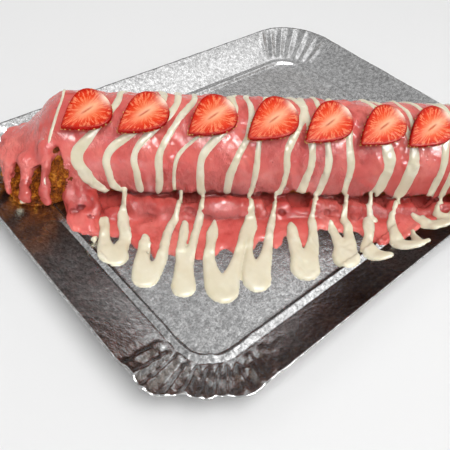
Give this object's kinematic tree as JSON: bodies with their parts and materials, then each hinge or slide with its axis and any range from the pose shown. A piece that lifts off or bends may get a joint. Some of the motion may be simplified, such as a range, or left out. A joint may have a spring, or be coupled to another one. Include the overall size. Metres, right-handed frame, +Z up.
{
  "type": "glazed strawberry roll cake on a tray",
  "caption": "Long roll cake under pink glaze with a zigzag of white drizzle that pools round it, topped with strawberry halves, on a silver board tray with fluted corners.",
  "frame": {"origin": "middle of the underside of the tray, at the centre of the whole part's footprint", "axes": "+X along the tray's long side, +Y along its short side, +Z up from the surface it stands on; the roll lies corner to corner, from -X +Y to +X -Y"},
  "size_m": [0.38, 0.288, 0.0797],
  "materials": {
    "silver_board": "silver metallised board with a fine pressed grain",
    "crust": "golden brown crumbly crust, matt",
    "pink_glaze": "thick pink strawberry glaze, wet gloss",
    "white_drizzle": "ivory white chocolate drizzle, smooth gloss",
    "strawberry": "fresh cut strawberry, moist"
  },
  "bodies": {
    "root": {"tray": "silver_board", "roll": "crust", "glaze": "pink_glaze", "strawberry_1": "strawberry", "strawberry_2": "strawberry", "strawberry_3": "strawberry", "strawberry_4": "strawberry", "strawberry_5": "strawberry", "strawberry_6": "strawberry", "strawberry_7": "strawberry"}
  },
  "joints": []
}
